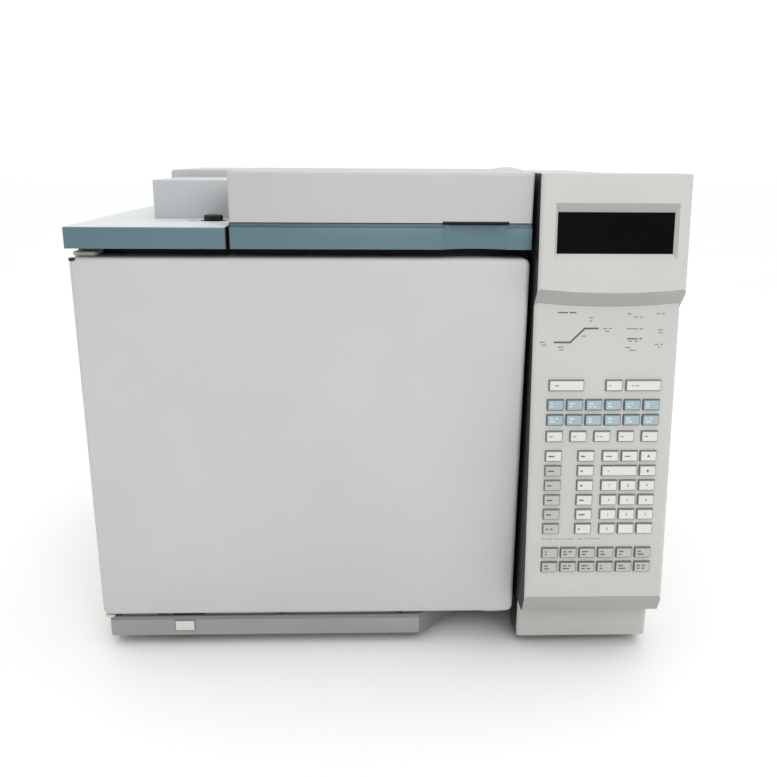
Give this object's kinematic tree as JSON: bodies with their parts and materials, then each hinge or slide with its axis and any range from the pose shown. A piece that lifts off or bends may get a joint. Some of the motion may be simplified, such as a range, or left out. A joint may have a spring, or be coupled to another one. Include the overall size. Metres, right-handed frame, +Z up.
{
  "type": "gas chromatograph",
  "caption": "Bench gas chromatograph with a side-hinged oven door, lift-up detector lid, inlet deck and a keypad tower with a display under a hood.",
  "frame": {"origin": "on the bench, under the middle of the bounding box", "axes": "+X to the right as seen from the front, +Y to the back, +Z up"},
  "size_m": [0.58, 0.5, 0.4945],
  "materials": {
    "housing_plastic": "fine-textured light grey moulding",
    "trim_plastic": "blue-grey moulding",
    "strip_plastic": "mid grey moulding",
    "cover_paint": "light grey powder coat",
    "chassis_steel": "zinc-plated sheet",
    "oven_steel": "stainless sheet",
    "shaft_steel": "ground bar",
    "insulation": "mineral wool",
    "heater": "oxidised sheath",
    "motor_paint": "dark enamel",
    "capillary": "amber coated silica",
    "inlet_plate": "satin anodised",
    "inlet_steel": "turned stainless",
    "nut_black": "black oxide",
    "fitting_brass": "turned",
    "foot_rubber": "matte",
    "window": "dark tinted",
    "circuit_board": "solder mask",
    "socket_black": "moulded",
    "key_light": "light grey key",
    "key_teal": "pale blue-green key"
  },
  "bodies": {
    "cabinet": {"rear_cover": "housing_plastic", "tower_housing": "housing_plastic", "tower_base": "housing_plastic", "inlet_deck": "trim_plastic", "front_fascia": "trim_plastic", "front_base_strip": "strip_plastic", "left_side_panel": "cover_paint", "tower_side_cover": "cover_paint", "rear_panel": "cover_paint", "base_rails": "chassis_steel", "floor_pan": "chassis_steel", "bay_wall": "chassis_steel", "top_plate": "chassis_steel", "front_frame": "chassis_steel", "oven_shell": "chassis_steel", "exhaust_duct": "chassis_steel", "door_hinge_brackets": "chassis_steel", "oven_liner": "oven_steel", "fan_shroud": "oven_steel", "column_cage": "oven_steel", "panel_screws": "shaft_steel", "oven_insulation": "insulation", "door_seal": "insulation", "heater_coil": "heater", "fan_motor": "motor_paint", "power_supply": "motor_paint", "column_coil": "capillary", "inlet_cover": "inlet_plate", "gas_modules": "inlet_plate", "inlet_bodies": "inlet_steel", "detectors": "inlet_steel", "septum_nuts": "nut_black", "gas_fittings": "fitting_brass", "feet": "foot_rubber", "display_window": "window", "display_module": "circuit_board", "keypad_board": "circuit_board", "main_board": "circuit_board", "rear_sockets": "socket_black", "power_switch": "socket_black"},
    "oven_door": {"door_skin": "housing_plastic", "door_liner": "oven_steel", "door_insulation": "insulation", "latch_pin": "shaft_steel"},
    "door_latch": {"latch_lever": "shaft_steel"},
    "lid": {"detector_lid": "housing_plastic"},
    "power_button": {"power_button": "key_light"},
    "oven_fan": {"fan_wheel": "oven_steel", "fan_shaft": "shaft_steel"},
    "flap": {"vent_flap": "oven_steel"},
    "key_start": {"key_start": "key_light"},
    "key_stop": {"key_stop": "key_light"},
    "key_prepare": {"key_prepare": "key_light"},
    "keys_function": {"keys_function": "key_light"},
    "keys_setup": {"keys_setup": "key_light"},
    "keys_arrow": {"keys_arrow": "key_light"},
    "key_enter": {"key_enter": "key_light"},
    "keys_number": {"keys_number": "key_light"},
    "keys_lower": {"keys_lower": "key_light"},
    "keys_zone": {"keys_zone": "key_teal"}
  },
  "joints": [
    {"name": "door_hinge", "type": "hinge", "parent": "cabinet", "child": "oven_door", "pos_m": [-0.283, -0.19, 0.22675], "axis": [0, 0, -1], "range_deg": [0, 105]},
    {"name": "latch_pivot", "type": "hinge", "parent": "oven_door", "child": "door_latch", "pos_m": [0.123, -0.186, 0.049], "axis": [-1, 0, 0], "range_deg": [0, 10], "stiffness_Nm_per_rad": 0.05, "springref_deg": -11.46},
    {"name": "lid_hinge", "type": "hinge", "parent": "cabinet", "child": "lid", "pos_m": [0.004, 0.027, 0.485], "axis": [-1, 0, 0], "range_deg": [0, 75]},
    {"name": "power_button_slide", "type": "slide", "parent": "cabinet", "child": "power_button", "axis": [0, 1, 0], "range_m": [0, 0.003], "stiffness_N_per_m": 600, "springref_m": -0.002},
    {"name": "fan_spin", "type": "hinge", "parent": "cabinet", "child": "oven_fan", "pos_m": [-0.071, 0.04, 0.2265], "axis": [0, 1, 0], "continuous": true},
    {"name": "flap_hinge", "type": "hinge", "parent": "cabinet", "child": "flap", "pos_m": [-0.15, 0.2005, 0.33], "axis": [1, 0, 0], "range_deg": [0, 85]},
    {"name": "key_start_slide", "type": "slide", "parent": "cabinet", "child": "key_start", "axis": [0, 0.9949, -0.1008], "range_m": [0, 0.0015], "stiffness_N_per_m": 300, "springref_m": -0.001},
    {"name": "key_stop_slide", "type": "slide", "parent": "cabinet", "child": "key_stop", "axis": [0, 0.9949, -0.1008], "range_m": [0, 0.0015], "stiffness_N_per_m": 300, "springref_m": -0.001},
    {"name": "key_prepare_slide", "type": "slide", "parent": "cabinet", "child": "key_prepare", "axis": [0, 0.9949, -0.1008], "range_m": [0, 0.0015], "stiffness_N_per_m": 300, "springref_m": -0.001},
    {"name": "keys_function_slide", "type": "slide", "parent": "cabinet", "child": "keys_function", "axis": [0, 0.9949, -0.1008], "range_m": [0, 0.0015], "stiffness_N_per_m": 300, "springref_m": -0.001},
    {"name": "keys_setup_slide", "type": "slide", "parent": "cabinet", "child": "keys_setup", "axis": [0, 0.9949, -0.1008], "range_m": [0, 0.0015], "stiffness_N_per_m": 300, "springref_m": -0.001},
    {"name": "keys_arrow_slide", "type": "slide", "parent": "cabinet", "child": "keys_arrow", "axis": [0, 0.9949, -0.1008], "range_m": [0, 0.0015], "stiffness_N_per_m": 300, "springref_m": -0.001},
    {"name": "key_enter_slide", "type": "slide", "parent": "cabinet", "child": "key_enter", "axis": [0, 0.9949, -0.1008], "range_m": [0, 0.0015], "stiffness_N_per_m": 300, "springref_m": -0.001},
    {"name": "keys_number_slide", "type": "slide", "parent": "cabinet", "child": "keys_number", "axis": [0, 0.9949, -0.1008], "range_m": [0, 0.0015], "stiffness_N_per_m": 300, "springref_m": -0.001},
    {"name": "keys_lower_slide", "type": "slide", "parent": "cabinet", "child": "keys_lower", "axis": [0, 0.9949, -0.1008], "range_m": [0, 0.0015], "stiffness_N_per_m": 300, "springref_m": -0.001},
    {"name": "keys_zone_slide", "type": "slide", "parent": "cabinet", "child": "keys_zone", "axis": [0, 0.9949, -0.1008], "range_m": [0, 0.0015], "stiffness_N_per_m": 300, "springref_m": -0.001}
  ]
}
